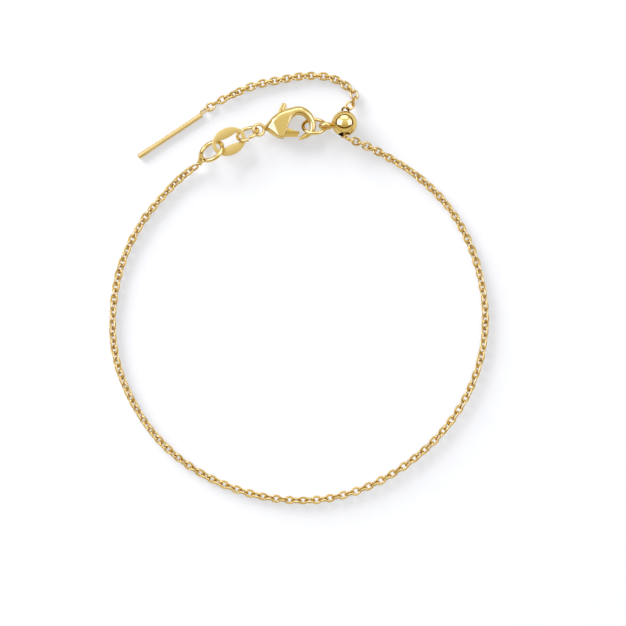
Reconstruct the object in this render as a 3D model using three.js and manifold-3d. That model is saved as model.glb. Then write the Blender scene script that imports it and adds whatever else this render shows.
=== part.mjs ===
// Adjustable chain bracelet, laid flat as a closed loop with its clasp fastened.
// The chain leaves an end ring, goes once round the wrist, runs through a sliding bead and ends in a
// threading needle. The end ring, a tag, a jump ring, a lobster clasp and the bead's ring close the loop.
// Millimetres, +Z up. The origin is the middle of the footprint, on the surface that the bracelet lies on.
import * as THREE from "three";
import { mergeVertices } from "three/addons/utils/BufferGeometryUtils.js";
import Module from "manifold-3d";

const wasm = await Module();
wasm.setup();

// Driving dimensions.
const CHAIN_WIDTH = 1.3;
const CHAIN_SIDES = 8;
const STEPS_PER_POINT = 2;

const END_RING = { meanRadius: 1.66, wire: 0.58, turn: 36, tilt: 48, x: -13.46, y: 21.33, z: 1.55 };
const CUP = { ringAngle: 190, ringRadius: 0.58, waistRadius: 0.43, waistAt: 0.6, endRadius: 0.45 };
const CUP_MOUTH = { radius: 0.3, depth: 0.4 };
const CUP_END = new THREE.Vector3(-15.45, 19.2, 1.3);

const TAG = { length: 5.1, width: 4.25, thickness: 0.33, bevel: 0.05 };
const TAG_PLACE = { turn: 25, x: -10.75, y: 22.75, z: 1.74 };
const TAG_SLOT = { length: 3.94, endWidth: 1.5, waistWidth: 1.12, cornerReach: 0.68 };

const LINK_RING = { meanRadius: 1.65, wire: 0.55, turn: 17, tilt: 58, x: -7.77, y: 23.87, z: 1.7 };
const LINK_RING_CUT = { angle: 268, gap: 0.1, offset: 0.22 };

const HOOK_RING = { meanRadius: 1.75, wire: 0.55, turn: 0, tilt: 50, x: 2.38, y: 24.97, z: 1.64 };

const BEAD = { radius: 2, boreRadius: 0.9, rim: 0.07, tilt: -15, x: 7.01, y: 25.39, z: 2.02 };
const BEAD_LOOP = { meanRadius: 0.88, thickness: 0.46, width: 0.62, x: -2.86, y: -0.22, z: -0.6 };

const CLASP = { x: -3.1, y: 24.34, z: 1.37 };
const CLASP_TAIL = { meanRadius: 0.85, wire: 0.5, x: -3.1, y: 0.2, lift: 18 };
const LEVER_THICKNESS = 0.9;
const LEVER_GAP = 0.15;
const PIN_RADIUS = 0.3;
const PIN_GAP = 0.12;
const PIN_BITE = 0.2;

const NEEDLE = { length: 11.7, radius: 0.36, tipRadius: 0.4, tipLength: 2, endRadius: 0.25, taper: 0.12 };
const NEEDLE_TOP = { turn: 213.6, x: -15.14, y: 26.77, z: 0.41 };
const NEEDLE_EYE = { meanRadius: 0.42, wire: 0.26, stretch: 1.45, roll: 40, reach: 0.72 };

const GOLD_COLOUR = 0xdcb85f;
const RING_STEPS = 32;
const LOOP_STEPS = 20;
const WIRE_SIDES = 10;
const BEAD_SIDES = 28;
const BEAD_ARC_STEPS = 12;
const BAR_SIDES = 14;
const TIP_ARC_STEPS = 4;
const CURVE_STEPS = 8;
const PIN_SIDES = 16;

// The chain's centre line, from the end ring's cup round the loop, through the bead and along the tail.
const ROUTE = [
  { x: -15.7, y: 18.95, z: 1.24 },
  { x: -17.4, y: 17.8, z: 0.85 },
  { x: -20.0, y: 15.4, z: 0.69 },
  { x: -24.4, y: 10.0, z: 0.65 },
  { x: -27.5, y: 3.5, z: 0.65 },
  { x: -28.8, y: -3.7, z: 0.65 },
  { x: -28.4, y: -10.5, z: 0.65 },
  { x: -26.1, y: -16.9, z: 0.65 },
  { x: -22.2, y: -22.9, z: 0.65 },
  { x: -16.9, y: -27.6, z: 0.65 },
  { x: -10.4, y: -30.9, z: 0.65 },
  { x: -3.3, y: -32.65, z: 0.65 },
  { x: 4.0, y: -32.65, z: 0.65 },
  { x: 11.0, y: -30.6, z: 0.65 },
  { x: 17.2, y: -26.9, z: 0.65 },
  { x: 22.5, y: -21.9, z: 0.65 },
  { x: 26.4, y: -15.8, z: 0.65 },
  { x: 28.5, y: -9.0, z: 0.65 },
  { x: 28.7, y: -2.0, z: 0.65 },
  { x: 26.9, y: 5.6, z: 0.65 },
  { x: 23.3, y: 12.3, z: 0.65 },
  { x: 18.2, y: 17.4, z: 0.66 },
  { x: 13.5, y: 20.4, z: 0.76 },
  { x: 10.8, y: 21.78, z: 1.2 },
  { x: 9.1, y: 22.5, z: 2.0 },
  { x: 8.0, y: 22.8, z: 2.47 },
  { x: 7.3, y: 23.2, z: 2.6 },
  { x: 7.01, y: 24.0, z: 2.39 },
  { x: 7.01, y: 25.39, z: 2.02 },
  { x: 7.01, y: 26.8, z: 1.64 },
  { x: 7.3, y: 27.7, z: 1.33 },
  { x: 8.3, y: 28.6, z: 0.9 },
  { x: 8.6, y: 29.7, z: 0.69 },
  { x: 7.4, y: 31.2, z: 0.65 },
  { x: 4.9, y: 32.55, z: 0.65 },
  { x: 1.2, y: 32.86, z: 0.65 },
  { x: -3.0, y: 32.2, z: 0.65 },
  { x: -7.2, y: 31.25, z: 0.65 },
  { x: -10.6, y: 29.75, z: 0.65 },
  { x: -13.75, y: 28.2, z: 0.65 },
];

// The claw from its neck to the tip of its hook, in the clasp's frame, which has its origin on the pivot pin.
// Each section runs from the claw's back to its mouth side; half is half its thickness, round its squareness.
const CLAW = [
  { backX: -2.3, backY: 0.56, mouthX: -2.3, mouthY: 0.04, half: 0.28, round: 2 },
  { backX: -1.92, backY: 0.86, mouthX: -1.9, mouthY: -0.16, half: 0.7, round: 2 },
  { backX: -1.32, backY: 1.66, mouthX: -1.27, mouthY: -0.62, half: 1.08, round: 2.2 },
  { backX: -0.54, backY: 2.37, mouthX: -0.5, mouthY: -1.04, half: 1.3, round: 2.4 },
  { backX: 0.39, backY: 3.02, mouthX: 0.23, mouthY: -1.3, half: 1.35, round: 2.5 },
  { backX: 1.32, backY: 3.43, mouthX: 0.62, mouthY: -1.33, half: 1.35, round: 2.5 },
  { backX: 2.37, backY: 3.67, mouthX: 0.82, mouthY: -1.27, half: 1.28, round: 2.5 },
  { backX: 2.5, backY: 3.7, mouthX: 2.02, mouthY: 2.14, half: 0.82, round: 2.2 },
  { backX: 3.25, backY: 3.77, mouthX: 2.87, mouthY: 2.45, half: 0.72, round: 2 },
  { backX: 4.11, backY: 3.56, mouthX: 3.64, mouthY: 2.36, half: 0.66, round: 2 },
  { backX: 4.88, backY: 2.91, mouthX: 4.26, mouthY: 1.92, half: 0.62, round: 2 },
  { backX: 5.42, backY: 2.02, mouthX: 4.68, mouthY: 1.32, half: 0.58, round: 2 },
  { backX: 5.69, backY: 1.01, mouthX: 4.87, mouthY: 0.7, half: 0.56, round: 2 },
  { backX: 5.61, backY: 0.15, mouthX: 4.85, mouthY: 0.12, half: 0.55, round: 2 },
  { backX: 5.27, backY: -0.5, mouthX: 4.59, mouthY: -0.22, half: 0.55, round: 2 },
  { backX: 4.5, backY: -1.12, mouthX: 4.06, mouthY: -0.26, half: 0.52, round: 2.2 },
  { backX: 3.32, backY: -1.49, mouthX: 3.14, mouthY: -1.36, half: 0.32, round: 2.4 },
];
const CLAW_SIDES = 20;

const rad = THREE.MathUtils.degToRad;

function solidOf(geometry) {
  const bare = geometry.clone();
  bare.deleteAttribute("normal");
  bare.deleteAttribute("uv");
  const merged = mergeVertices(bare, 1e-4);
  const triVerts = new Uint32Array(merged.index.array);
  const vertProperties = merged.attributes.position.array;
  return new wasm.Manifold(new wasm.Mesh({ numProp: 3, vertProperties, triVerts }));
}

function geometryOf(solid) {
  const mesh = solid.getMesh();
  const geometry = new THREE.BufferGeometry();
  geometry.setAttribute("position", new THREE.BufferAttribute(mesh.vertProperties, 3));
  geometry.setIndex(new THREE.BufferAttribute(mesh.triVerts, 1));
  geometry.computeVertexNormals();
  return geometry;
}

function goldMesh(name, geometry, roughness) {
  const material = new THREE.MeshStandardMaterial({ color: GOLD_COLOUR, metalness: 1, roughness });
  const mesh = new THREE.Mesh(geometry, material);
  mesh.name = name;
  return mesh;
}

function regularSection(radius, sides) {
  const section = new THREE.Shape();
  for (let i = 0; i < sides; i++) {
    const angle = (2 * Math.PI * (i + 0.5)) / sides;
    section[i ? "lineTo" : "moveTo"](radius * Math.cos(angle), radius * Math.sin(angle));
  }
  return section.closePath();
}

// A ring of round wire turned about +Z and then tipped, so that its +Y side goes down.
function placeRing(mesh, { turn, tilt, x, y, z }) {
  mesh.rotation.set(rad(-tilt), 0, rad(turn), "ZXY");
  mesh.position.set(x, y, z);
  return mesh;
}

function torus({ meanRadius, wire }) {
  return new THREE.TorusGeometry(meanRadius, wire / 2, WIRE_SIDES, RING_STEPS);
}

// Turns a lathe made along +Y to run from one point to another.
function aim(geometry, from, to) {
  const along = to.clone().sub(from).normalize();
  const turn = new THREE.Quaternion().setFromUnitVectors(new THREE.Vector3(0, 1, 0), along);
  return geometry.applyQuaternion(turn).translate(from.x, from.y, from.z);
}

function lathe(profile, steps) {
  return new THREE.LatheGeometry(profile.map(([r, y]) => new THREE.Vector2(r, y)), steps);
}

// The chain's curve. Its steps follow its points, so they crowd where the points do, and its sections
// keep level, so that one flat of the chain faces the surface that it lies on.
class Route extends THREE.CatmullRomCurve3 {
  getUtoTmapping(u) {
    return u;
  }

  computeFrenetFrames(steps) {
    const frames = { tangents: [], normals: [], binormals: [] };
    for (let i = 0; i <= steps; i++) {
      const tangent = this.getTangentAt(i / steps);
      const normal = new THREE.Vector3(0, 0, 1).cross(tangent).normalize();
      frames.tangents.push(tangent);
      frames.normals.push(normal);
      frames.binormals.push(tangent.clone().cross(normal));
    }
    return frames;
  }
}

function chain() {
  const points = ROUTE.map(({ x, y, z }) => new THREE.Vector3(x, y, z));
  const acrossCorners = CHAIN_WIDTH / 2 / Math.cos(Math.PI / CHAIN_SIDES);
  const geometry = new THREE.ExtrudeGeometry(regularSection(acrossCorners, CHAIN_SIDES), {
    steps: STEPS_PER_POINT * (points.length - 1),
    extrudePath: new Route(points, false, "centripetal"),
  });
  return goldMesh("chain", geometry, 0.25);
}

// The end ring with the cup that holds the chain's first link, soldered as one piece.
function endRing() {
  const ring = placeRing(new THREE.Mesh(torus(END_RING)), END_RING);
  ring.updateMatrix();
  const onRing = new THREE.Vector3(
    END_RING.meanRadius * Math.cos(rad(CUP.ringAngle)),
    END_RING.meanRadius * Math.sin(rad(CUP.ringAngle)),
    0,
  ).applyMatrix4(ring.matrix);
  const length = onRing.distanceTo(CUP_END);
  const cup = lathe(
    [
      [0, 0],
      [CUP.ringRadius, 0],
      [CUP.waistRadius, CUP.waistAt * length],
      [CUP.endRadius, length],
      [CUP_MOUTH.radius, length],
      [CUP_MOUTH.radius, length - CUP_MOUTH.depth],
      [0, length - CUP_MOUTH.depth],
    ],
    LOOP_STEPS,
  );
  const joined = solidOf(ring.geometry.applyMatrix4(ring.matrix)).add(solidOf(aim(cup, onRing, CUP_END)));
  return goldMesh("end_ring", geometryOf(joined), 0.15);
}

// A flat oval plate. Its slot is narrower at the waist, where both long edges bulge inwards.
function ovalTag() {
  const plate = new THREE.Shape();
  plate.absellipse(0, 0, TAG.length / 2 - TAG.bevel, TAG.width / 2 - TAG.bevel, 0, 2 * Math.PI);
  const end = TAG_SLOT.length / 2 + TAG.bevel;
  const corner = TAG_SLOT.endWidth / 2 + TAG.bevel;
  const bulge = TAG_SLOT.waistWidth - TAG_SLOT.endWidth / 2 + TAG.bevel;
  const shoulder = end - TAG_SLOT.cornerReach;
  const slot = new THREE.Path();
  slot.moveTo(-shoulder, -corner);
  slot.quadraticCurveTo(0, -bulge, shoulder, -corner);
  slot.quadraticCurveTo(end, -corner, end, 0);
  slot.quadraticCurveTo(end, corner, shoulder, corner);
  slot.quadraticCurveTo(0, bulge, -shoulder, corner);
  slot.quadraticCurveTo(-end, corner, -end, 0);
  slot.quadraticCurveTo(-end, -corner, -shoulder, -corner);
  plate.holes.push(slot);
  const depth = TAG.thickness - 2 * TAG.bevel;
  const geometry = new THREE.ExtrudeGeometry(plate, {
    depth,
    curveSegments: CURVE_STEPS,
    bevelThickness: TAG.bevel,
    bevelSize: TAG.bevel,
    bevelSegments: 1,
  });
  geometry.translate(0, 0, -depth / 2);
  const tag = goldMesh("oval_tag", geometry, 0.35);
  tag.rotation.z = rad(TAG_PLACE.turn);
  tag.position.set(TAG_PLACE.x, TAG_PLACE.y, TAG_PLACE.z);
  return tag;
}

// One turn of wire whose two cut ends stand a little apart and out of line.
class CutTurn extends THREE.Curve {
  getPoint(t, target = new THREE.Vector3()) {
    const halfGap = LINK_RING_CUT.gap / 2 / LINK_RING.meanRadius;
    const angle = rad(LINK_RING_CUT.angle) + halfGap + t * 2 * (Math.PI - halfGap);
    const radius = LINK_RING.meanRadius;
    return target.set(radius * Math.cos(angle), radius * Math.sin(angle), LINK_RING_CUT.offset * (t - 0.5));
  }
}

function linkRing() {
  const geometry = new THREE.ExtrudeGeometry(regularSection(LINK_RING.wire / 2, WIRE_SIDES), {
    steps: RING_STEPS,
    extrudePath: new CutTurn(),
  });
  return placeRing(goldMesh("link_ring", geometry, 0.15), LINK_RING);
}

function hookRing() {
  return placeRing(goldMesh("hook_ring", torus(HOOK_RING), 0.15), HOOK_RING);
}

// A skin through the claw's sections, each a rounded oval on end, with a fan of triangles over each end.
function clawSkin() {
  const positions = [];
  const indices = [];
  const middles = [];
  for (const { backX, backY, mouthX, mouthY, half, round } of CLAW) {
    const middle = new THREE.Vector3((backX + mouthX) / 2, (backY + mouthY) / 2, 0);
    const reach = new THREE.Vector3((backX - mouthX) / 2, (backY - mouthY) / 2, 0);
    middles.push(middle);
    for (let i = 0; i < CLAW_SIDES; i++) {
      const angle = (2 * Math.PI * i) / CLAW_SIDES;
      const across = Math.sign(Math.cos(angle)) * Math.abs(Math.cos(angle)) ** (2 / round);
      const up = Math.sign(Math.sin(angle)) * Math.abs(Math.sin(angle)) ** (2 / round);
      positions.push(middle.x + reach.x * across, middle.y + reach.y * across, half * up);
    }
  }
  const ring = (row, i) => row * CLAW_SIDES + (i % CLAW_SIDES);
  const lastRow = CLAW.length - 1;
  const firstCap = positions.length / 3;
  positions.push(...middles[0].toArray(), ...middles[lastRow].toArray());
  for (let i = 0; i < CLAW_SIDES; i++) {
    for (let row = 0; row < lastRow; row++) {
      indices.push(ring(row, i), ring(row + 1, i + 1), ring(row + 1, i));
      indices.push(ring(row, i), ring(row, i + 1), ring(row + 1, i + 1));
    }
    indices.push(firstCap, ring(0, i + 1), ring(0, i));
    indices.push(firstCap + 1, ring(lastRow, i), ring(lastRow, i + 1));
  }
  const geometry = new THREE.BufferGeometry();
  geometry.setAttribute("position", new THREE.Float32BufferAttribute(positions, 3));
  geometry.setIndex(indices);
  return geometry;
}

function upright(shape, thickness) {
  const options = { depth: thickness, bevelEnabled: false, curveSegments: CURVE_STEPS };
  return new THREE.ExtrudeGeometry(shape, options).translate(0, 0, -thickness / 2);
}

// The room that the lever needs in the middle of the claw as it swings, open at the back and at the mouth.
function leverRoom() {
  const room = new THREE.Shape();
  room.moveTo(1.75, 4.8);
  room.lineTo(1.1, 3.1);
  room.lineTo(1.0, 1.5);
  room.lineTo(2.4, 1.45);
  room.lineTo(3.6, -1.9);
  room.lineTo(0.1, -1.9);
  room.lineTo(-0.5, -0.75);
  room.lineTo(-0.9, -0.2);
  room.lineTo(-1.3, 1.25);
  room.lineTo(-1.75, 2.4);
  room.lineTo(-1.75, 4.8);
  return upright(room, LEVER_THICKNESS + 2 * LEVER_GAP);
}

// The claw with its tail loop and the pin that carries the lever, soldered as one piece.
function claspBody() {
  const tail = torus(CLASP_TAIL).rotateY(rad(CLASP_TAIL.lift)).translate(CLASP_TAIL.x, CLASP_TAIL.y, 0);
  const pinLength = LEVER_THICKNESS + 2 * LEVER_GAP + 2 * PIN_BITE;
  const pin = new THREE.CylinderGeometry(PIN_RADIUS, PIN_RADIUS, pinLength, PIN_SIDES).rotateX(Math.PI / 2);
  const joined = solidOf(clawSkin())
    .subtract(solidOf(leverRoom()))
    .add(solidOf(tail))
    .add(solidOf(pin));
  return goldMesh("clasp_body", geometryOf(joined), 0.18);
}

// The sprung lever: a thumb tab at the back of the claw, a hub on the pin and a gate across the mouth.
function claspLever() {
  const outline = new THREE.Shape();
  outline.moveTo(3.15, -1.0);
  outline.lineTo(3.08, -0.15);
  outline.quadraticCurveTo(2.1, 0.1, 1.4, 0.42);
  outline.quadraticCurveTo(0.75, 0.7, 0.68, 1.5);
  outline.lineTo(0.86, 2.8);
  outline.lineTo(1.16, 3.87);
  outline.absarc(0.77, 3.97, 0.4, rad(-15), rad(165), false);
  outline.lineTo(0.05, 2.9);
  outline.lineTo(-0.35, 1.4);
  outline.lineTo(-0.65, 0.1);
  outline.absarc(0, 0, 0.65, rad(171), rad(255), false);
  outline.lineTo(0.9, -1.0);
  outline.closePath();
  const hole = new THREE.Path();
  hole.absarc(0, 0, PIN_RADIUS + PIN_GAP, 0, 2 * Math.PI, true);
  outline.holes.push(hole);
  return goldMesh("clasp_lever", upright(outline, LEVER_THICKNESS), 0.2);
}

function clasp() {
  const group = new THREE.Group();
  group.add(claspBody(), claspLever());
  group.position.set(CLASP.x, CLASP.y, CLASP.z);
  return group;
}

// A hollow ball with an open bore along Y, and the loop soldered to its side.
function slideBead() {
  const mouth = Math.asin((BEAD.boreRadius + BEAD.rim) / BEAD.radius);
  const profile = [[BEAD.boreRadius, -BEAD.radius * Math.cos(mouth) + BEAD.rim]];
  for (let i = 0; i <= BEAD_ARC_STEPS; i++) {
    const angle = mouth + ((Math.PI - 2 * mouth) * i) / BEAD_ARC_STEPS;
    profile.push([BEAD.radius * Math.sin(angle), -BEAD.radius * Math.cos(angle)]);
  }
  profile.push([BEAD.boreRadius, BEAD.radius * Math.cos(mouth) - BEAD.rim]);
  profile.push(profile[0]);
  const loop = new THREE.TorusGeometry(BEAD_LOOP.meanRadius, BEAD_LOOP.thickness / 2, WIRE_SIDES, LOOP_STEPS)
    .rotateX(Math.PI / 2)
    .scale(1, BEAD_LOOP.width / BEAD_LOOP.thickness, 1)
    .translate(BEAD_LOOP.x, BEAD_LOOP.y, BEAD_LOOP.z);
  const bore = new THREE.CylinderGeometry(BEAD.boreRadius, BEAD.boreRadius, 2 * BEAD.radius, BEAD_SIDES);
  const joined = solidOf(lathe(profile, BEAD_SIDES)).add(solidOf(loop).subtract(solidOf(bore)));
  const bead = goldMesh("slide_bead", geometryOf(joined), 0.08);
  bead.rotation.x = rad(BEAD.tilt);
  bead.position.set(BEAD.x, BEAD.y, BEAD.z);
  return bead;
}

// The threading needle: a bar with a thicker blunt tip, and an eye for the chain's last link.
function needle() {
  const { length, radius, tipRadius, tipLength, endRadius, taper } = NEEDLE;
  const profile = [
    [0, 0],
    [endRadius, 0],
    [radius, taper],
    [radius, length - tipLength],
    [tipRadius, length - tipLength + taper],
  ];
  for (let i = 0; i <= TIP_ARC_STEPS; i++) {
    const angle = (Math.PI / 2) * (i / TIP_ARC_STEPS);
    profile.push([tipRadius * Math.cos(angle), length - tipRadius * (1 - Math.sin(angle))]);
  }
  const bar = lathe(profile, BAR_SIDES).rotateZ(-Math.PI / 2);
  const eye = new THREE.TorusGeometry(NEEDLE_EYE.meanRadius, NEEDLE_EYE.wire / 2, WIRE_SIDES, LOOP_STEPS)
    .scale(NEEDLE_EYE.stretch, 1, 1)
    .rotateX(rad(NEEDLE_EYE.roll))
    .translate(-NEEDLE_EYE.reach, 0, 0);
  const mesh = goldMesh("needle", geometryOf(solidOf(bar).add(solidOf(eye))), 0.2);
  mesh.rotation.z = rad(NEEDLE_TOP.turn);
  mesh.position.set(NEEDLE_TOP.x, NEEDLE_TOP.y, NEEDLE_TOP.z);
  return mesh;
}

const bracelet = new THREE.Group();
bracelet.name = "bracelet";
bracelet.add(chain(), endRing(), ovalTag(), linkRing(), clasp(), hookRing(), slideBead(), needle());

export default bracelet;
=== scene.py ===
# %% [markdown]
# This lesson dresses a chain bracelet in Blender. The imported CAD model comes in first, as a fixed frame in
# metres. Every piece below is modelled afresh with bmesh operators in the same place as its CAD node, rides
# on that node's body and hides the node. The box of the CAD model is kept.

# %% Load the frame
import random
from math import atan2, cos, degrees, pi, radians, sin, sqrt

import bmesh
import bpy
from mathutils import Matrix, Vector
from mathutils.geometry import interpolate_bezier


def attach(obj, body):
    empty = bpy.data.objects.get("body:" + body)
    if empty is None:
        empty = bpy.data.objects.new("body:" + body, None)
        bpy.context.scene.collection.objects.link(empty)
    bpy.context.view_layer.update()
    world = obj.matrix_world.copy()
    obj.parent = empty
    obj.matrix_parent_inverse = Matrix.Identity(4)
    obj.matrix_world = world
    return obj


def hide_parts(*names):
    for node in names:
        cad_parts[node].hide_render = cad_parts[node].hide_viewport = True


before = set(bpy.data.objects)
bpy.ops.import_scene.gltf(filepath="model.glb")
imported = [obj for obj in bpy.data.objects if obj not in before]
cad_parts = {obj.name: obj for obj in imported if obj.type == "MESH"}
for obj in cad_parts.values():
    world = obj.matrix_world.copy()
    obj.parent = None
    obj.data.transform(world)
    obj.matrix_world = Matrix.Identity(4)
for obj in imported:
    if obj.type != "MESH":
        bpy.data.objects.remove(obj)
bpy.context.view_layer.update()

# %% [markdown]
# The photograph looks straight down on the bracelet. A long lens from half a metre keeps the sides of the
# small findings from leaning outwards, as a close camera would make them. An orthographic camera could do
# the same, but a long lens also suits the views from other sides. The frame is 97 mm wide at the table.

# %% Camera
MM = 0.001
LENS_MM = 200
SENSOR_MM = 36
NEAREST = 0.01
FRAME_WIDTH = 97.03 * MM
FRAME_CENTRE = Vector((2.17 * MM, -3.875 * MM, 0))

camera_data = bpy.data.cameras.new("camera")
camera_data.lens = LENS_MM
camera_data.sensor_width = SENSOR_MM
camera_data.clip_start = NEAREST
camera = bpy.data.objects.new("camera", camera_data)
camera.location = FRAME_CENTRE + Vector((0, 0, FRAME_WIDTH * LENS_MM / SENSOR_MM))
bpy.context.scene.collection.objects.link(camera)
bpy.context.scene.camera = camera
bpy.context.scene.view_settings.view_transform = "Standard"
print(f"camera {camera.location.z:.3f} m above the table")

# %% [markdown]
# The finishes are written as sums, so one small class wraps a shader socket and lets Python's own operators
# add the Math nodes. Its method node makes any other node: the settings first, then a value or a link for
# each socket. A Mix node has several sockets of one name, so its colours go by their numbers. Dragging
# noodles by hand would give the same tree, but a sum can be read.

# %% Shader sums
MIX_FIRST = 6
MIX_SECOND = 7
MIX_RESULT = 2


class Field:
    """A shader socket that can be reckoned with, and a way to add the next node to its tree."""

    def __init__(self, tree, socket=None):
        self.tree = tree
        self.socket = socket

    def node(self, kind, settings=None, inputs=None, output=0):
        """Adds a node of any kind and gives one of its outputs."""
        made = self.tree.nodes.new(kind)
        for key, value in (settings or {}).items():
            setattr(made, key, value)
        for key, value in (inputs or {}).items():
            if isinstance(value, Field):
                self.tree.links.new(value.socket, made.inputs[key])
            else:
                made.inputs[key].default_value = value
        return Field(self.tree, made.outputs[output])

    def math(self, operation, first, second):
        """Adds a Math node."""
        return self.node("ShaderNodeMath", {"operation": operation}, {0: first, 1: second})

    def __add__(self, other):
        return self.math("ADD", self, other)

    def __sub__(self, other):
        return self.math("SUBTRACT", self, other)

    def __rsub__(self, other):
        return self.math("SUBTRACT", other, self)

    def __mul__(self, other):
        return self.math("MULTIPLY", self, other)

    __radd__ = __add__
    __rmul__ = __mul__

    def ramp(self, start, end, low, high):
        """Goes smoothly from low to high while this value goes from start to end."""
        limits = {"Value": self, "From Min": start, "From Max": end, "To Min": low, "To Max": high}
        return self.node("ShaderNodeMapRange", {"interpolation_type": "SMOOTHSTEP"}, limits)

    def between(self, first, second):
        """Goes from one colour to another while this value goes from 0 to 1."""
        colours = {"Factor": self, MIX_FIRST: first, MIX_SECOND: second}
        return self.node("ShaderNodeMix", {"data_type": "RGBA"}, colours, MIX_RESULT)

    def into(self, shader, name):
        """Links this socket to an input of a shader."""
        self.tree.links.new(self.socket, shader.inputs[name])


# %% [markdown]
# Polished gold has hardly any colour of its own: it shows its surroundings. Jewellers therefore photograph
# it in a white tent, and the dark gap at the foot of the tent draws the thin dark lines that make metal look
# like metal. The world is that tent here: brighter at the back than at the front, dark at its foot, with a
# second dark gap across the front and a low bright band below that. The dimmer the tent, the browner it is,
# as gold that mirrors gold would be: green falls faster than red, and blue faster still.

# %% Tent
TENT_STRENGTH = 0.98
TENT_DIMMEST = 0.16
FRONT_TO_BACK = (-0.5, 0.45)
FRONT_AND_BACK = (0.74, 1.14)
FOOT = (0.06, 0.40)
GAP_TILT = radians(36)
GAP_MIDDLE = 0.21
GAP_EDGE = (0.05, 0.17)
BELOW_GAP = 0.9
BELOW_EDGE = (0, 0.1)
GREEN_FALL = 1.3
BLUE_FALL = 2

world = bpy.data.worlds.new("studio")
world.use_nodes = True
sky = Field(world.node_tree)
direction = sky.node("ShaderNodeTexCoord", output="Generated")
back = sky.node("ShaderNodeSeparateXYZ", inputs={0: direction}, output="Y")
height = sky.node("ShaderNodeSeparateXYZ", inputs={0: direction}, output="Z")
foot = height.ramp(*FOOT, 0, 1)
tilted = back * sin(GAP_TILT) + height * cos(GAP_TILT)
off_gap = sky.math("ABSOLUTE", tilted - GAP_MIDDLE, 0).ramp(*GAP_EDGE, 0, 1)
upper = back.ramp(*FRONT_TO_BACK, *FRONT_AND_BACK) * sky.math("MINIMUM", foot, off_gap)
lower = tilted.ramp(*BELOW_EDGE, BELOW_GAP, 0) * height.ramp(*BELOW_EDGE, 0, 1)
bright = sky.math("MAXIMUM", sky.math("MAXIMUM", upper, lower), TENT_DIMMEST)
green = sky.math("POWER", bright, GREEN_FALL)
blue = sky.math("POWER", bright, BLUE_FALL)
tint = sky.node("ShaderNodeCombineXYZ", inputs={"X": bright, "Y": green, "Z": blue})
tint.into(world.node_tree.nodes["Background"], "Color")
world.node_tree.nodes["Background"].inputs["Strength"].default_value = TENT_STRENGTH
bpy.context.scene.world = world
print("tent in place")

# %% [markdown]
# Area lights are the tent's windows. Their blue-white turns to plain white in the yellow gold, so highlights
# are cream and not lemon. They are kept from the table, and one low key light from the upper left, which the
# metal doesn't mirror, throws the soft shadows to the lower right. Each panel below has its compass angle,
# its height angle, its width and height in metres, its strength and its colour.

# %% Studio light
PANEL_DISTANCE = 1.2
WINDOW_BLUE = (0.29, 0.38, 1.15)
PALE_BLUE = (0.45, 0.55, 1.08)
WHITE = (1, 1, 1)


def panel(name, azimuth, elevation, width, height, strength, colour, mirrored=True):
    """A soft light that faces the bracelet from a compass angle (0 is +X) and a height angle."""
    light = bpy.data.lights.new(name, "AREA")
    light.shape = "RECTANGLE"
    light.size = width
    light.size_y = height
    light.energy = strength * pi * width * height
    light.color = colour
    lamp = bpy.data.objects.new(name, light)
    level = radians(azimuth)
    rise = radians(elevation)
    away = Vector((cos(level) * cos(rise), sin(level) * cos(rise), sin(rise)))
    lamp.location = away * PANEL_DISTANCE
    lamp.rotation_euler = away.to_track_quat("Z", "Y").to_euler()
    lamp.visible_camera = False
    lamp.visible_glossy = mirrored
    lamp.visible_diffuse = not mirrored
    bpy.context.scene.collection.objects.link(lamp)
    return lamp


PANELS = [
    panel("window_left", 165, 44, 1.0, 1.04, 4.2, WINDOW_BLUE),
    panel("window_right", 12, 38, 0.92, 0.84, 3.4, WINDOW_BLUE),
    panel("window_back", 92, 30, 1.12, 0.74, 2.7, PALE_BLUE),
    panel("key", 135, 20, 0.9, 0.6, 27.5, WHITE, mirrored=False),
]
print(len(PANELS), "lights in the tent")

# %% [markdown]
# All the metal is the same yellow gold, but each finding is worked differently. Noise in Object coordinates
# gives each one cloudy differences of colour and polish a few millimetres wide, and a second noise, stretched
# long and thin, gives the hairlines that polishing leaves. The clouds turn the colour between a pale and a
# deep gold, and both noises change the roughness. A little of the hairlines goes into the bump. The
# hairlines run along the tag, the clasp and the needle, so each of these has its turn.

# %% Gold finishes
PALE_GOLD = (0.76, 0.56, 0.185, 1)
DEEP_GOLD = (0.70, 0.495, 0.14, 1)
LINK_GOLD = (0.75, 0.54, 0.175, 1)
LINK_SHADE = (0.62, 0.41, 0.10, 1)
CLOUD_MM = 2.5
LINK_CLOUD_MM = 1.2
CLOUD_DETAIL = 4
LINE_MM = 0.12
LINE_DETAIL = 2
LINE_STRETCH = 16
LINE_HAZE = 0.4
LINE_DEPTH_MM = 0.01
TAG_TURN = 25
CLASP_TURN = 40
NEEDLE_TURN = 33.6


def noise(place, size, detail):
    """Noise with lumps of about a size in metres."""
    settings = {"Vector": place, "Scale": 1 / size, "Detail": detail}
    return place.node("ShaderNodeTexNoise", inputs=settings)


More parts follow.
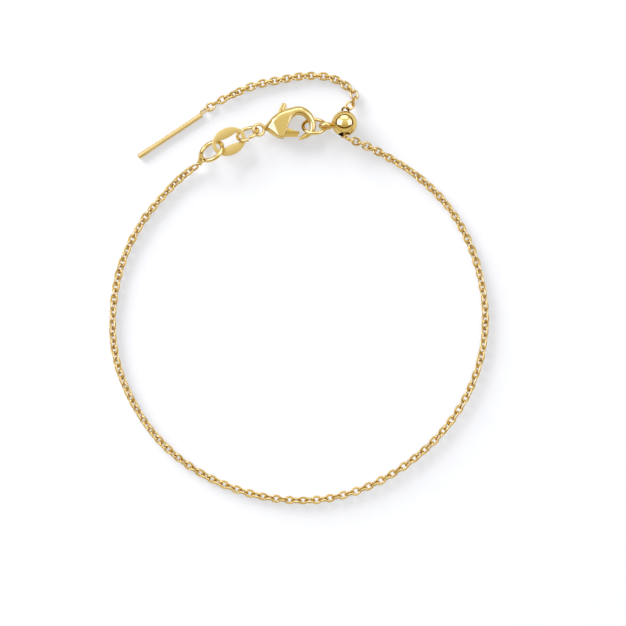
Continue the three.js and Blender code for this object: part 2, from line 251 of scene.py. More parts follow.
def gold(name, roughness, haze, hairlines, turn=0, cloud_mm=CLOUD_MM, pale=PALE_GOLD, deep=DEEP_GOLD):
    """Polished gold: haze is how far its polish wanders, hairlines how strongly the fine lines show."""
    material = bpy.data.materials.new(name)
    material.use_nodes = True
    shader = material.node_tree.nodes["Principled BSDF"]
    shader.inputs["Metallic"].default_value = 1
    start = Field(material.node_tree)
    place = start.node("ShaderNodeTexCoord", output="Object")
    clouds = noise(place, cloud_mm * MM, CLOUD_DETAIL)
    along = start.node(
        "ShaderNodeMapping",
        {"vector_type": "TEXTURE"},
        {"Vector": place, "Rotation": (0, 0, radians(turn)), "Scale": (LINE_STRETCH, 1, 1)},
    )
    lines = noise(along, LINE_MM * MM, LINE_DETAIL)
    polish = roughness + (clouds - 0.5) * haze + (lines - 0.5) * (haze * LINE_HAZE)
    bump = start.node(
        "ShaderNodeBump",
        inputs={"Strength": hairlines, "Distance": LINE_DEPTH_MM * MM, "Height": lines},
    )
    clouds.between(pale, deep).into(shader, "Base Color")
    polish.into(shader, "Roughness")
    bump.into(shader, "Normal")
    return material


CHAIN_GOLD = gold("chain_gold", 0.20, 0.10, 0.01, cloud_mm=LINK_CLOUD_MM, pale=LINK_GOLD, deep=LINK_SHADE)
WIRE_GOLD = gold("wire_gold", 0.15, 0.05, 0.008)
TAG_GOLD = gold("tag_gold", 0.30, 0.12, 0.05, TAG_TURN)
CLASP_GOLD = gold("clasp_gold", 0.19, 0.08, 0.03, CLASP_TURN)
BEAD_GOLD = gold("bead_gold", 0.06, 0.05, 0.01)
NEEDLE_GOLD = gold("needle_gold", 0.48, 0.08, 0.02, NEEDLE_TURN)
print("six gold finishes")

# %% [markdown]
# The table is a light table: white board that also glows, so the gaps in the chain stay white and the
# shadows stay pale, as in the photograph. The glow is a constant of its shader, and its white and its polish
# are faintly uneven. One flat grid is enough for it.

# %% Table
TABLE_SIDE = 6
TABLE_GLOW = 0.505
TABLE_WHITE = (0.30, 0.305, 0.325, 1)
TABLE_SHADE = (0.28, 0.285, 0.305, 1)
TABLE_SHEEN = 0.1
TABLE_ROUGHNESS = 0.8
FIBRE_ROUGHNESS = 0.1
FIBRE_MM = 2.5
FIBRE_DETAIL = 3
GRID_STEPS = 4


def table_white():
    """Matt white board, lit from below."""
    material = bpy.data.materials.new("table_white")
    material.use_nodes = True
    shader = material.node_tree.nodes["Principled BSDF"]
    shader.inputs["Specular IOR Level"].default_value = TABLE_SHEEN
    shader.inputs["Emission Color"].default_value = (1, 1, 1, 1)
    shader.inputs["Emission Strength"].default_value = TABLE_GLOW
    start = Field(material.node_tree)
    place = start.node("ShaderNodeTexCoord", output="Object")
    fibre = noise(place, FIBRE_MM * MM, FIBRE_DETAIL)
    fibre.between(TABLE_WHITE, TABLE_SHADE).into(shader, "Base Color")
    (TABLE_ROUGHNESS + fibre * FIBRE_ROUGHNESS).into(shader, "Roughness")
    return material


table_shape = bmesh.new()
bmesh.ops.create_grid(table_shape, x_segments=GRID_STEPS, y_segments=GRID_STEPS, size=TABLE_SIDE / 2)
table_mesh = bpy.data.meshes.new("table")
table_shape.to_mesh(table_mesh)
table_shape.free()
table = bpy.data.objects.new("table", table_mesh)
table_mesh.materials.append(table_white())
bpy.context.scene.collection.objects.link(table)
print("table", TABLE_SIDE, "m square")

# %% [markdown]
# Every piece is modelled in millimetres, which suit findings this small, each shape in a bmesh of its own.
# These helpers put shapes together, round their edges, cut one with another and hand a finished piece to the
# frame: doubles are merged, normals recalculated, sharp edges marked by their angle, and the mesh scaled to
# metres with its object left at the origin.

# %% Helpers for all pieces
DOUBLES_MM = 0.0005
SHARP_ANGLE = radians(38)


def mesh_of(shape, name="shape"):
    """Turns a bmesh into a mesh and frees it."""
    mesh = bpy.data.meshes.new(name)
    shape.to_mesh(mesh)
    shape.free()
    return mesh


def joined(shapes):
    """Puts several shapes into one bmesh."""
    whole = bmesh.new()
    for shape in shapes:
        mesh = mesh_of(shape)
        whole.from_mesh(mesh)
        bpy.data.meshes.remove(mesh)
    return whole


def moved(shape, matrix):
    """Places a whole shape by a matrix."""
    bmesh.ops.transform(shape, matrix=matrix, verts=shape.verts)
    return shape


def cleaned(shape):
    """Merges doubles and turns the faces outwards."""
    bmesh.ops.remove_doubles(shape, verts=shape.verts, dist=DOUBLES_MM)
    bmesh.ops.recalc_face_normals(shape, faces=shape.faces)
    return shape


def beveled(shape, edges, width, segments):
    """Rounds some edges of a shape."""
    bmesh.ops.bevel(
        shape,
        geom=edges,
        offset=width,
        offset_type="OFFSET",
        affect="EDGES",
        segments=segments,
        profile=0.5,
        material=-1,
    )
    return shape


def with_modifier(shape, kind, **settings):
    """Runs one modifier on a shape and gives the shape it makes."""
    mesh = mesh_of(cleaned(shape))
    helper = bpy.data.objects.new("helper", mesh)
    bpy.context.scene.collection.objects.link(helper)
    modifier = helper.modifiers.new(kind.lower(), kind)
    for key, value in settings.items():
        setattr(modifier, key, value)
    depsgraph = bpy.context.evaluated_depsgraph_get()
    result = bmesh.new()
    result.from_object(helper, depsgraph)
    bpy.data.objects.remove(helper)
    bpy.data.meshes.remove(mesh)
    return result


def cut(shape, cutter):
    """Takes the cutter's room out of a shape."""
    mesh = mesh_of(cleaned(cutter))
    knife = bpy.data.objects.new("knife", mesh)
    bpy.context.scene.collection.objects.link(knife)
    result = with_modifier(shape, "BOOLEAN", operation="DIFFERENCE", solver="EXACT", object=knife)
    bpy.data.objects.remove(knife)
    bpy.data.meshes.remove(mesh)
    return result


def piece(name, shape, node, body, material):
    """Finishes a shape as a piece of the bracelet that stands for a CAD node."""
    cleaned(shape)
    for face in shape.faces:
        face.smooth = True
    for edge in shape.edges:
        edge.smooth = len(edge.link_faces) == 2 and edge.calc_face_angle() < SHARP_ANGLE
    bmesh.ops.scale(shape, vec=(MM, MM, MM), verts=shape.verts)
    finished = bpy.data.objects.new(name, mesh_of(shape, name))
    finished.data.materials.append(material)
    bpy.context.scene.collection.objects.link(finished)
    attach(finished, body)
    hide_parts(node)
    print(name, len(finished.data.polygons), "faces")
    return finished


# %% [markdown]
# A jump ring is a length of round wire bent into a circle. One circle of wire, spun about the ring's middle,
# makes it. A full spin merges its last step with its first. A part spin leaves the two ends of a cut ring
# open, so they get a face each, and a rise in the spin sets the ends beside each other, as pliers leave them.
# The first ring is the soldered one in the claw's hook.

# %% Wire rings
RING_STEPS = 72
WIRE_SIDES = 18
JUMP_WIRE = 0.55
HOOK_RADIUS = 1.75


def wire_ring(mean_radius, wire, turn=360, rise=0, steps=RING_STEPS, flat=1):
    """A ring of round wire about Z; flat widens the wire along Z."""
    ring = bmesh.new()
    upright = Matrix.Translation((mean_radius, 0, 0)) @ Matrix.Rotation(pi / 2, 4, "X")
    upright = upright @ Matrix.Diagonal((1, flat, 1, 1))
    bmesh.ops.create_circle(ring, radius=wire / 2, segments=WIRE_SIDES, matrix=upright)
    bmesh.ops.spin(
        ring,
        geom=ring.verts[:] + ring.edges[:],
        axis=(0, 0, 1),
        dvec=(0, 0, rise / steps),
        angle=radians(turn),
        steps=steps,
        use_merge=turn == 360,
    )
    bmesh.ops.holes_fill(ring, edges=[edge for edge in ring.edges if edge.is_boundary])
    return ring


def ring_place(at, turn, tilt):
    """A ring that is turned about Z and leans so that its far side goes down."""
    turned_so = Matrix.Rotation(radians(turn), 4, "Z") @ Matrix.Rotation(radians(-tilt), 4, "X")
    return Matrix.Translation(at) @ turned_so


HOOK_RING_AT = ring_place((2.38, 24.97, 1.64), 0, 50)
hook_ring = moved(wire_ring(HOOK_RADIUS, JUMP_WIRE), HOOK_RING_AT)
piece("hook_ring_wire", hook_ring, "hook_ring", "bracelet", WIRE_GOLD)

# %% [markdown]
# The ring between the tag and the clasp is the one that a jeweller opens, so its cut shows: the ends stand
# a little apart and one is higher. Their rims are beveled, because a saw cut is never left sharp.

# %% Cut ring
CUT_ANGLE = 268
CUT_GAP = 0.1
CUT_RISE = -0.34
CUT_BEVEL = 0.05
CUT_RADIUS = 1.65
CUT_RING_AT = ring_place((-7.94, 23.83, 1.7), 17, 58)

missing = degrees(CUT_GAP / CUT_RADIUS)
link_ring = wire_ring(CUT_RADIUS, JUMP_WIRE, turn=360 - missing, rise=CUT_RISE)
cut_ends = [face for face in link_ring.faces if len(face.verts) == WIRE_SIDES]
beveled(link_ring, [edge for face in cut_ends for edge in face.edges], CUT_BEVEL, 2)
cut_turn = Matrix.Rotation(radians(CUT_ANGLE + missing / 2), 4, "Z")
moved(link_ring, CUT_RING_AT @ cut_turn @ Matrix.Translation((0, 0, -CUT_RISE / 2)))
piece("link_ring_wire", link_ring, "link_ring", "bracelet", WIRE_GOLD)

# %% [markdown]
# Cup, needle and pin are turned parts, as from a lathe. A few vertices draw half of the outline, radius
# across and height up, and a full spin makes the body. An end on the axis is closed when its doubles merge.

# %% Turned parts
TURN_STEPS = 40


def turned(outline, steps=TURN_STEPS):
    """Spins an outline of (radius, height) points about Z."""
    body = bmesh.new()
    corners = [body.verts.new((radius, 0, height)) for radius, height in outline]
    sides = [body.edges.new(pair) for pair in zip(corners, corners[1:])]
    bmesh.ops.spin(body, geom=corners + sides, axis=(0, 0, 1), angle=2 * pi, steps=steps, use_merge=True)
    return cleaned(body)


# %% [markdown]
# The chain ends in a soldered ring with a small cup that holds the first link. The cup flares into the ring
# like a trumpet, and its solder runs out along the ring on both sides. So the turned cup is spread along the
# ring towards its foot, and the spread part is bent back to follow the ring's curve. A lip goes round the
# mouth, and the recess in it has room for the link's end. The outline's heights are shares of the cup's
# length.

# %% End ring and cup
END_RADIUS = 1.84
END_WIRE = 0.69
END_RING_AT = ring_place((-13.49, 21.14, 1.72), 36, 48)
CUP_END = Vector((-15.45, 19.2, 1.3))
CUP_ANGLE = radians(183)
CUP_SPREAD = 3.2
SPREAD_END = 0.7
CUP_BEND = 1.6
CUP_OUTLINE = [
    (0, -0.16), (0.22, -0.14), (0.36, -0.04), (0.44, 0.08), (0.46, 0.22), (0.46, 0.40),
    (0.45, 0.58), (0.43, 0.80), (0.43, 0.88), (0.46, 0.92), (0.46, 0.97), (0.43, 1.0),
    (0.38, 1.0), (0.35, 0.96), (0.32, 0.7), (0, 0.66),
]

cup_start = END_RING_AT @ Vector((END_RADIUS * cos(CUP_ANGLE), END_RADIUS * sin(CUP_ANGLE), 0))
cup_axis = CUP_END - cup_start
cup = turned([(radius, height * cup_axis.length) for radius, height in CUP_OUTLINE])
for corner in cup.verts:
    near = max(0, SPREAD_END - corner.co.z / cup_axis.length)
    corner.co.y *= 1 + CUP_SPREAD * near**2
    corner.co.z -= corner.co.y**2 / (2 * END_RADIUS) * min(1, CUP_BEND * near)
ring_way = END_RING_AT.to_3x3() @ Vector((-sin(CUP_ANGLE), cos(CUP_ANGLE), 0))
across = ring_way.cross(cup_axis).normalized()
cup_turn = Matrix((across, cup_axis.normalized().cross(across), cup_axis.normalized())).transposed()
moved(cup, Matrix.Translation(cup_start) @ cup_turn.to_4x4())
end_ring = joined([moved(wire_ring(END_RADIUS, END_WIRE), END_RING_AT), cup])
piece("end_ring_cup", end_ring, "end_ring", "bracelet", WIRE_GOLD)

# %% [markdown]
# The tag is a flat oval stamped from sheet, with a long slot that is narrower in its middle than at its
# ends. Two circles, one shaped to the rim and one to the slot, are bridged into a flat ring, which is
# extruded to the sheet's thickness. A small bevel on both rims is what catches the light on the real one.

# %% Oval tag
TAG_LENGTH = 5.36
TAG_WIDTH = 4.25
TAG_THICKNESS = 0.33
SLOT_LENGTH = 4.14
SLOT_END_WIDTH = 1.74
SLOT_WAIST_WIDTH = 1.12
SLOT_WAIST_REACH = 0.36 * SLOT_LENGTH
SLOT_END_POWER = 0.75
SLOT_SIDE_POWER = 0.45
TAG_SIDES = 96
TAG_BEVEL = 0.06
RIM_ANGLE = radians(60)
TAG_AT = Matrix.Translation((-10.82, 22.63, 1.74)) @ Matrix.Rotation(radians(TAG_TURN), 4, "Z")


def slot_point(angle):
    """A point on the slot's edge: a long rounded box that draws in at its waist."""
    across = cos(angle)
    up = sin(angle)
    x = SLOT_LENGTH / 2 * abs(across) ** SLOT_END_POWER * (1 if across > 0 else -1)
    spread = min(1, (abs(x) / SLOT_WAIST_REACH) ** 2)
    half = (SLOT_WAIST_WIDTH + (SLOT_END_WIDTH - SLOT_WAIST_WIDTH) * spread) / 2
    y = half * abs(up) ** SLOT_SIDE_POWER * (1 if up > 0 else -1)
    return x, y, 0


tag = bmesh.new()
rim = bmesh.ops.create_circle(tag, radius=1, segments=TAG_SIDES)["verts"]
bmesh.ops.scale(tag, vec=(TAG_LENGTH / 2, TAG_WIDTH / 2, 1), verts=rim)
slot = bmesh.ops.create_circle(tag, radius=1, segments=TAG_SIDES)["verts"]
for corner in slot:
    corner.co = slot_point(atan2(corner.co.y, corner.co.x))
bmesh.ops.bridge_loops(tag, edges=tag.edges[:])
plate = bmesh.ops.extrude_face_region(tag, geom=tag.faces[:])
lifted = [part for part in plate["geom"] if isinstance(part, bmesh.types.BMVert)]
bmesh.ops.translate(tag, vec=(0, 0, TAG_THICKNESS), verts=lifted)
cleaned(tag)
beveled(tag, [edge for edge in tag.edges if edge.calc_face_angle() > RIM_ANGLE], TAG_BEVEL, 3)
moved(tag, TAG_AT @ Matrix.Translation((0, 0, -TAG_THICKNESS / 2)))
piece("oval_tag_plate", tag, "oval_tag", "bracelet", TAG_GOLD)

# %% [markdown]
# The sliding bead is a hollow polished ball. A sphere is cut flat at both mouths, the two open rims are
# bridged through the middle for the bore, and the rims are rounded. The faces of the bore get a darker gold,
# a painted shade for the little light that finds its way in. A flat-sided loop, soldered to its side, joins
# it to the ring in the claw. The bore leans, because the chain comes down through it from above.

# %% Sliding bead
BEAD_RADIUS = 1.99
BORE_RADIUS = 0.9
# The bore's two browns are painted shade, darker than the gold itself.
BORE_SHADE_BROWN = (0.10, 0.05, 0.015, 1)
BORE_SHADE_DARK = (0.03, 0.015, 0.006, 1)
BEAD_RIM = 0.08
BEAD_STEPS = (72, 48)
MOUTH_ANGLE = radians(40)
BEAD_AT = Matrix.Translation((7.01, 25.39, 2.02)) @ Matrix.Rotation(radians(-15), 4, "X")
BEAD_LOOP_AT = (-2.86, -0.22, -0.6)
BEAD_LOOP_RADIUS = 0.88
BEAD_LOOP_WIRE = 0.46
BEAD_LOOP_WIDTH = 0.7
MOUTH_HEIGHT = sqrt(BEAD_RADIUS**2 - BORE_RADIUS**2)

bead = bmesh.new()
bmesh.ops.create_uvsphere(bead, u_segments=BEAD_STEPS[0], v_segments=BEAD_STEPS[1], radius=BEAD_RADIUS)
for side in (1, -1):
    bmesh.ops.bisect_plane(
        bead,
        geom=bead.verts[:] + bead.edges[:] + bead.faces[:],
        plane_co=(0, 0, side * MOUTH_HEIGHT),
        plane_no=(0, 0, side),
        clear_outer=True,
    )
mouths = [edge for edge in bead.edges if edge.is_boundary]
bmesh.ops.bridge_loops(bead, edges=mouths)
cleaned(bead)
beveled(bead, [edge for edge in bead.edges if edge.calc_face_angle() > MOUTH_ANGLE], BEAD_RIM, 4)
# Faces of the bore take the second material, which is painted shade.
for face in bead.faces:
    if max(corner.co.xy.length for corner in face.verts) < BORE_RADIUS + BEAD_RIM / 4:
        face.material_index = 1
moved(bead, Matrix.Rotation(pi / 2, 4, "X"))
loop_place = Matrix.Translation(BEAD_LOOP_AT) @ Matrix.Rotation(pi / 2, 4, "X")
bead_loop = wire_ring(BEAD_LOOP_RADIUS, BEAD_LOOP_WIRE, flat=BEAD_LOOP_WIDTH / BEAD_LOOP_WIRE)
slide_bead = moved(joined([bead, moved(bead_loop, loop_place)]), BEAD_AT)
ball = piece("slide_bead_ball", slide_bead, "slide_bead", "bracelet", BEAD_GOLD)
# The bore's material is a darker gold painted as shade inside the bore.
ball.data.materials.append(gold("bore_painted_shade", 0.55, 0.2, 0.05, pale=BORE_SHADE_BROWN, deep=BORE_SHADE_DARK))

# %% [markdown]
# The needle at the free end threads the chain through the bead. It is a turned bar with a slightly thicker,
# rounded tip, and a stretched ring for its eye. The eye is turned about the bar, so it lies on the table
# with one side raised.

# %% Needle
NEEDLE_AT = (
    Matrix.Translation((-15.14, 26.77, 0.41))
    @ Matrix.Rotation(radians(180 + NEEDLE_TURN), 4, "Z")
    @ Matrix.Rotation(pi / 2, 4, "Y")
)
NEEDLE_OUTLINE = [
    (0, -0.2), (0.2, -0.2), (0.27, -0.12), (0.33, 0.02), (0.36, 0.2), (0.36, 9.66), (0.37, 9.7),
    (0.39, 9.74), (0.4, 9.8), (0.4, 11.42), (0.385, 11.52), (0.34, 11.62), (0.26, 11.68), (0.14, 11.7),
    (0, 11.7),
]
EYE_STEPS = 38
EYE_WIRE = 0.28
EYE_WIDTH = 1.15
EYE_LENGTH = 1.80
EYE_AT = Matrix.Translation((-14.61, 27.5, 0.51)) @ Matrix.Rotation(radians(NEEDLE_TURN), 4, "Z")
EYE_ROLL = radians(-56)


def drawn_out(ring, length):
    """Draws the two halves of a ring apart along X."""
    for half in (1, -1):
        end = [corner for corner in ring.verts if corner.co.x * half > 0]
        bmesh.ops.translate(ring, vec=(half * length / 2, 0, 0), verts=end)
    return ring


eye = wire_ring((EYE_WIDTH - EYE_WIRE) / 2, EYE_WIRE, steps=EYE_STEPS)
moved(drawn_out(eye, EYE_LENGTH - EYE_WIDTH), EYE_AT @ Matrix.Rotation(EYE_ROLL, 4, "X"))
needle = joined([moved(turned(NEEDLE_OUTLINE), NEEDLE_AT), eye])
piece("needle_bar", needle, "needle", "bracelet", NEEDLE_GOLD)

# %% [markdown]
# The claw is cast: a flat palm that swells from a thin neck, and a round hook that curls from the palm's
# back to a leaf-shaped tip. Sections along it are bridged one to the next. Each is a circle drawn out into a
# box between a point on the back and a point on the mouth side. Its corners are round, but the palm's mouth
# side has chamfers, which show as a dark line in front of the flat. Two more points beside each corner keep
# a subdivision surface from rounding it further. Creases keep the ridge where the neck meets the palm, and
# the hook's tip, crisp. The claw is drawn about the pin of its lever, and each row of the table has the
# point on the back, the point on the mouth side, half the height, and the corners of the back and the mouth.

# %% Claw sections
PIVOT = (-3.1, 24.34, 1.37)
CORNER_POINTS = 6
CLAW_SECTIONS = [
    (-2.30, 0.66, -2.30, 0.18, 0.28, 0.23, 0.23), (-2.00, 0.92, -1.94, -0.02, 0.55, 0.44, 0.44),
    (-1.72, 1.26, -1.46, -0.44, 0.86, 0.70, 0.82), (-1.46, 1.60, -0.78, -0.92, 1.06, 0.80, 1.04),
    (-1.16, 1.92, 0.16, -1.24, 1.25, 0.62, 0.26),
    (-0.54, 2.46, 0.62, -1.27, 1.31, 0.66, 0.20), (0.28, 2.98, 0.86, -1.08, 1.31, 0.76, 0.18),
    (0.95, 3.29, 1.06, -0.45, 1.28, 0.84, 0.18), (1.42, 3.42, 1.30, 0.30, 1.23, 0.88, 0.18),
    (1.82, 3.52, 1.55, 1.00, 1.16, 0.90, 0.20), (2.18, 3.62, 1.83, 1.60, 1.08, 0.90, 0.26),
    (2.58, 3.72, 2.22, 2.08, 1.00, 0.80, 0.40), (3.05, 3.77, 2.74, 2.36, 0.92, 0.70, 0.52),
    (3.60, 3.70, 3.27, 2.38, 0.85, 0.64, 0.58), (4.15, 3.48, 3.75, 2.19, 0.78, 0.62, 0.58),
    (4.74, 3.07, 4.10, 1.88, 0.72, 0.60, 0.58), (5.24, 2.42, 4.42, 1.52, 0.67, 0.56, 0.54),
    (5.58, 1.72, 4.64, 1.08, 0.63, 0.52, 0.50), (5.76, 1.00, 4.74, 0.66, 0.60, 0.48, 0.46),
    (5.74, 0.28, 4.76, 0.22, 0.57, 0.44, 0.42), (5.48, -0.34, 4.64, -0.08, 0.56, 0.38, 0.36),
    (4.95, -0.84, 4.36, -0.18, 0.55, 0.36, 0.36), (4.20, -1.27, 3.84, -0.52, 0.50, 0.20, 0.22),
    (3.14, -1.50, 3.08, -1.22, 0.34, 0.06, 0.06),
]
CHAMFER_BELOW = 0.3
SUPPORT = 0.25
CREASED = {4: 0.2, 23: 1}
CLAW_LEVELS = 2


def corner_inset(step, corner, reach):
    """How far a point lies inside one side of the box, for its step (0 to 5) round a corner."""
    if step == 0:
        return 0
    if step == CORNER_POINTS - 1:
        return corner + SUPPORT * min(1, reach - corner)
    share = (step - 1) / (CORNER_POINTS - 3)
    if corner < CHAMFER_BELOW:
        return corner * share
    return corner * (1 - cos(share * pi / 2))


def section_point(number, half_width, half_height, back_round, mouth_round):
    """The out and up of one point of a section, numbered round the box from the middle of its back."""
    quarter, step = divmod(number, CORNER_POINTS)
    if quarter % 2:
        step = CORNER_POINTS - 1 - step
    corner = back_round if quarter in (0, 3) else mouth_round
    out = half_width - corner_inset(step, corner, half_width)
    up = half_height - corner_inset(CORNER_POINTS - 1 - step, corner, half_height)
    return out * (1 if quarter in (0, 3) else -1), up * (1 if quarter < 2 else -1)


claw = bmesh.new()
crease = claw.edges.layers.float.new("crease_edge")
loops = []
for number, (back_x, back_y, mouth_x, mouth_y, *section) in enumerate(CLAW_SECTIONS):
    back = Vector((back_x, back_y, 0))
    mouth = Vector((mouth_x, mouth_y, 0))
    outward = (back - mouth).normalized()
    ring = bmesh.ops.create_circle(claw, radius=1, segments=4 * CORNER_POINTS)["verts"]
    edges = {edge for corner in ring for edge in corner.link_edges}
    for place, corner in enumerate(ring):
        out, up = section_point(place, (back - mouth).length / 2, *section)
        corner.co = (back + mouth) / 2 + outward * out + Vector((0, 0, up))
    for edge in edges:
        edge[crease] = CREASED.get(number, 0)
    loops.append(list(edges))
for first, second in zip(loops, loops[1:]):
    bmesh.ops.bridge_loops(claw, edges=first + second)
bmesh.ops.holes_fill(claw, edges=loops[0] + loops[-1])
claw = with_modifier(claw, "SUBSURF", levels=CLAW_LEVELS, render_levels=CLAW_LEVELS)
print("claw", len(claw.faces), "faces before its slot")

# %% [markdown]
# A lever swings in a slot through the middle of the palm, out at the back for its thumb tab and out at the
# front for its gate. The slot is a flat outline extruded to the slot's height, and a boolean takes it out of
# the claw. The pin of the lever crosses the slot, and the loop that takes the jump ring is soldered to the
# neck.

# %% Claw body
SLOT_HEIGHT = 1.2
PIN_RADIUS = 0.3
PIN_END = 0.9
TAIL_LOOP_RADIUS = 0.85
TAIL_LOOP_WIRE = 0.5
LEVER_ROOM = [
    (1.75, 4.8), (1.1, 3.1), (1.0, 1.5), (2.4, 1.45), (2.75, -1.9), (0.1, -1.9),
    (-0.5, -0.75), (-0.9, -0.2), (-1.3, 1.25), (-1.75, 2.4), (-1.75, 4.8),
]
TAIL_LOOP_AT = Matrix.Translation((-3.1, 0.12, 0)) @ Matrix.Rotation(radians(18), 4, "Y")


def plate_of(outline, thickness):
    """A flat outline, extruded to a plate about z = 0."""
    flat = bmesh.new()
    face = flat.faces.new([flat.verts.new((x, y, -thickness / 2)) for x, y in outline])
    grown = bmesh.ops.extrude_face_region(flat, geom=[face])
    top = [part for part in grown["geom"] if isinstance(part, bmesh.types.BMVert)]
    bmesh.ops.translate(flat, vec=(0, 0, thickness), verts=top)
    return cleaned(flat)


def rod(radius, start, end, steps):
    """A plain round bar along Z."""
    return turned([(0, start), (radius, start), (radius, end), (0, end)], steps)


claw = cut(claw, plate_of(LEVER_ROOM, SLOT_HEIGHT))
pin = rod(PIN_RADIUS, -PIN_END, PIN_END, steps=24)
tail_loop = moved(wire_ring(TAIL_LOOP_RADIUS, TAIL_LOOP_WIRE), TAIL_LOOP_AT)
clasp_body = moved(joined([claw, pin, tail_loop]), Matrix.Translation(PIVOT))
piece("clasp_claw", clasp_body, "clasp_body", "bracelet", CLASP_GOLD)

# %% [markdown]
# The lever is stamped from thick sheet: a thumb tab that sticks out at the back and a gate that closes the
# hook. Its outline is drawn once, with arcs for the round ends and short Bezier runs for the curves, and
# extruded, and a bevel rounds the rim. Round bars, laid along the tab and along the gate's lower edge, cut
# the thumb's groove and slope the gate. Each bar has its two ends, its radius and the depth of its cut.

# %% Lever
LEVER_THICKNESS = 0.9
LEVER_BEVEL = 0.1
PIN_HOLE = 0.42
HOLE_END = 1
FACING_UP = 0.9
GROOVES = [((0.40, 2.6), (1.02, 4.6), 0.18, 0.09), ((0.6, -1.05), (3.8, -1.05), 3.0, 0.16)]
ARC_STEPS = 8


def arc(centre, radius, start, end):
    """Points on an arc, angles in degrees."""
    steps = [radians(start + (end - start) * step / ARC_STEPS) for step in range(ARC_STEPS + 1)]
    return [(centre[0] + radius * cos(angle), centre[1] + radius * sin(angle)) for angle in steps]


def bend(start, handle, end):
    """Points on a curve that leaves start towards handle and comes to end from it."""
    start, handle, end = (Vector((x, y, 0)) for x, y in (start, handle, end))
    handles = (start.lerp(handle, 2 / 3), end.lerp(handle, 2 / 3))
    return [(point.x, point.y) for point in interpolate_bezier(start, *handles, end, ARC_STEPS)]


LEVER_OUTLINE = (
    [(2.95, -1.0), (3.0, -0.56), (3.2, -0.5), (3.2, -0.2)]
    + bend((3.02, -0.14), (2.1, 0.1), (1.4, 0.42))
    + bend((1.4, 0.42), (0.75, 0.7), (0.68, 1.5))[1:]
    + [(0.88, 2.8)]
    + arc((0.77, 3.85), 0.43, -15, 160)
    + [(-0.22, 2.75), (-0.45, 1.4), (-0.65, 0.1)]
    + arc((0, 0), 0.65, 171, 255)[1:]
    + [(0.9, -1.0)]
)

lever = plate_of(LEVER_OUTLINE, LEVER_THICKNESS)
flats = [face for face in lever.faces if abs(face.normal.z) > FACING_UP]
beveled(lever, list({edge for face in flats for edge in face.edges}), LEVER_BEVEL, 3)
hole = rod(PIN_HOLE, -HOLE_END, HOLE_END, steps=32)
for side in (1, -1):
    for start, end, radius, depth in GROOVES:
        middle = side * (LEVER_THICKNESS / 2 + radius - depth)
        run = Vector((*end, middle)) - Vector((*start, middle))
        lie = run.to_track_quat("Z", "Y").to_matrix().to_4x4()
        bar = rod(radius, 0, run.length, steps=48)
        lever = cut(lever, moved(bar, Matrix.Translation((*start, middle)) @ lie))
lever = moved(cut(lever, hole), Matrix.Translation(PIVOT))
piece("clasp_gate", lever, "clasp_lever", "lever", CLASP_GOLD)

# %% [markdown]
# The chain follows the same route as its CAD tube. The route's points are repeated here, and short Bezier
# runs between them give the same curve as the CAD's: a Catmull-Rom curve, whose handles come from each
# point's neighbours. The walk along it then gives a place at any length.

# %% Chain route
ROUTE = [
    Vector(point) for point in (
        (-15.7, 18.95, 1.24), (-17.4, 17.8, 0.85), (-20, 15.4, 0.69), (-24.4, 10, 0.65),
        (-27.5, 3.5, 0.65), (-28.8, -3.7, 0.65), (-28.4, -10.5, 0.65), (-26.1, -16.9, 0.65),
        (-22.2, -22.9, 0.65), (-16.9, -27.6, 0.65), (-10.4, -30.9, 0.65), (-3.3, -32.65, 0.65),
        (4, -32.65, 0.65), (11, -30.6, 0.65), (17.2, -26.9, 0.65), (22.5, -21.9, 0.65),
        (26.4, -15.8, 0.65), (28.5, -9, 0.65), (28.7, -2, 0.65), (26.9, 5.6, 0.65),
        (23.3, 12.3, 0.65), (18.2, 17.4, 0.66), (13.5, 20.4, 0.76), (10.8, 21.78, 1.2),
        (9.1, 22.5, 2.0), (8, 22.8, 2.47), (7.3, 23.2, 2.6), (7.01, 24, 2.39),
        (7.01, 25.39, 2.02), (7.01, 26.8, 1.64), (7.3, 27.7, 1.33), (8.3, 28.6, 0.9),
        (8.6, 29.7, 0.69), (7.4, 31.2, 0.65), (4.9, 32.53, 0.65), (1.2, 32.83, 0.65),
        (-3, 32.18, 0.65), (-7.2, 31.25, 0.65), (-10.6, 29.75, 0.65), (-13.75, 28.2, 0.65),
    )
]
SPAN_STEPS = 24


def smooth_route(points):
    """A fine run of points along the centripetal Catmull-Rom curve through the given ones."""
    ends = [2 * points[0] - points[1]] + points + [2 * points[-1] - points[-2]]
    run = [points[0]]
    for before, start, end, after in zip(ends, ends[1:], ends[2:], ends[3:]):
        lead = sqrt((start - before).length)
        span = sqrt((end - start).length)
        trail = sqrt((after - end).length)
        leave = (start - before) / lead - (end - before) / (lead + span) + (end - start) / span
        arrive = (end - start) / span - (after - start) / (span + trail) + (after - end) / trail
        handles = (start + leave * span / 3, end - arrive * span / 3)
        run += interpolate_bezier(start, *handles, end, SPAN_STEPS + 1)[1:]
    return run


RUN = smooth_route(ROUTE)
LENGTHS = [0]
for here, there in zip(RUN, RUN[1:]):
    LENGTHS.append(LENGTHS[-1] + (there - here).length)


def at_length(length):
    """The point that lies a length along the route, carried on straight past its ends."""
    number = next((n for n, total in enumerate(LENGTHS) if total > length), len(RUN) - 1)
    number = max(number, 1)
    share = (length - LENGTHS[number - 1]) / (LENGTHS[number] - LENGTHS[number - 1])
    return RUN[number - 1].lerp(RUN[number], share)


print(f"chain route {LENGTHS[-1]:.1f} mm")

# %% [markdown]
# A cable chain is nearly two hundred oval links, each turned a quarter round the chain from the one before.
# One link is modelled with only a few dozen faces: a small ring of six-sided wire, whose halves are drawn
# apart. It is copied along the route, and a subdivision surface rounds all the links at the end. Such a
# surface draws the wire in, so the wire starts out thicker. A chain laid down by hand is drawn tight in some
# stretches and slack in others, so the spacing is a list of runs: how many links, and how far apart. The roll
# of the chain wanders too, from a length along the route to the next, and each link rolls a little by
# itself. At the two mouths of the bead a link is tipped up on end, and the last link is shifted a little to
# hang in the needle's eye.

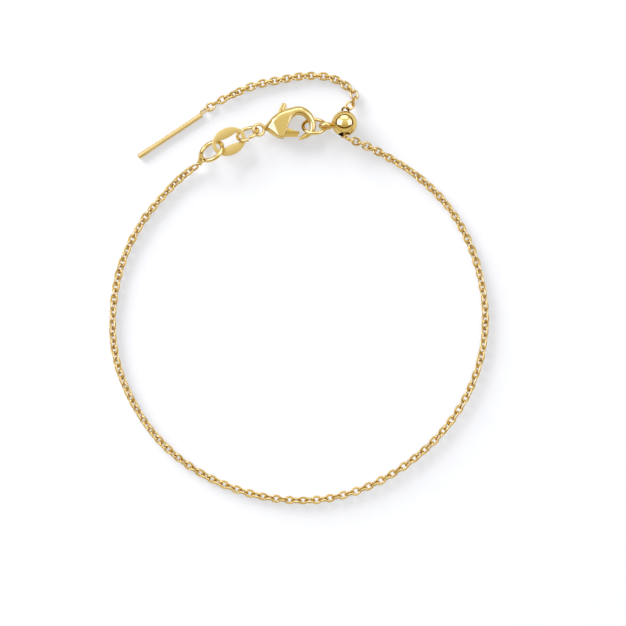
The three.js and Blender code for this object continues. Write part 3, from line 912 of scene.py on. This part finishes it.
# %% Chain links
LINK_LENGTH = 1.79
LINK_WIDTH = 1.45
LINK_WIRE = 0.375
LINK_STEPS = 14
LINK_SIDES = 6
WIRE_SWELL = 1.15
LINK_LEVELS = 1
LINK_CHORD = 1.045
FIRST_LINK = 0.7
SPACINGS = [
    (50, 0.982), (11, 1.03), (30, 1.045), (13, 1.02), (48, 0.985), (9, 1.043), (23, 0.953), (3, 1.045),
]
ROLLS = [
    (0, 40), (4, 38), (10, 33), (16, 31), (22, 32), (28, 37), (34, 42), (40, 45), (44, 41), (50, 34),
    (57, 28), (63, 23), (72, 24), (90, 24), (96, 28), (102, 31), (107, 36), (111, 44), (119, 44),
    (124, 39), (130, 34), (136, 31), (144, 34), (147, 40), (150, 22), (152, 6), (160.8, 8), (161, 98),
    (163, 102), (166, 112), (170, 106), (181, 106), (184, 135), (187, 166), (200, 170),
]
AT_MOUTHS = {155: 62, 159: -74}
LAST_SHIFT = Vector((0, -0.16, -0.18))
LINK_LIFT = 0.045
ROLL_JITTER = 9
ROLL_SEED = 7


def chain_link():
    """One oval link along X, flat in the XY plane."""
    link = bmesh.new()
    upright = Matrix.Translation(((LINK_WIDTH - LINK_WIRE) / 2, 0, 0)) @ Matrix.Rotation(pi / 2, 4, "X")
    bmesh.ops.create_circle(link, radius=LINK_WIRE / 2 * WIRE_SWELL, segments=LINK_SIDES, matrix=upright)
    bmesh.ops.spin(
        link,
        geom=link.verts[:] + link.edges[:],
        axis=(0, 0, 1),
        angle=2 * pi,
        steps=LINK_STEPS,
        use_merge=True,
    )
    return cleaned(drawn_out(link, LINK_LENGTH - LINK_WIDTH))


def roll_at(length):
    """The chain's slow roll, in degrees, from the table above."""
    for (start, low), (end, high) in zip(ROLLS, ROLLS[1:]):
        if length <= end:
            return low + (high - low) * (length - start) / (end - start)
    return ROLLS[-1][1]


def link_place(length, roll, tip):
    """Where a link lies: along the route, rolled about it, and tipped up on end."""
    forward = (at_length(length + LINK_CHORD / 2) - at_length(length - LINK_CHORD / 2)).normalized()
    level = Vector((0, 0, 1)).cross(forward).normalized()
    along = Matrix((forward, level, forward.cross(level))).transposed().to_4x4()
    turned_link = Matrix.Rotation(radians(tip), 4, "Y") @ Matrix.Rotation(radians(roll), 4, "X")
    return Matrix.Translation(at_length(length) + Vector((0, 0, LINK_LIFT))) @ along @ turned_link


random.seed(ROLL_SEED)
link_mesh = mesh_of(chain_link())
chain = bmesh.new()
links_at = [FIRST_LINK]
for count, spacing in SPACINGS:
    links_at += [links_at[-1] + spacing * step for step in range(1, count + 1)]
for number, length in enumerate(links_at):
    quarter = (len(links_at) - 1 - number) % 2
    roll = roll_at(length) - 90 * quarter + random.uniform(-ROLL_JITTER, ROLL_JITTER)
    start = len(chain.verts)
    chain.from_mesh(link_mesh)
    chain.verts.ensure_lookup_table()
    place = link_place(length, roll, AT_MOUTHS.get(number, 0))
    bmesh.ops.transform(chain, matrix=place, verts=chain.verts[start:])
bmesh.ops.translate(chain, vec=LAST_SHIFT, verts=chain.verts[start:])
links = piece("chain_links", chain, "chain", "bracelet", CHAIN_GOLD)
rounding = links.modifiers.new("rounding", "SUBSURF")
rounding.levels = LINK_LEVELS
rounding.render_levels = LINK_LEVELS
print(len(links_at), "links")
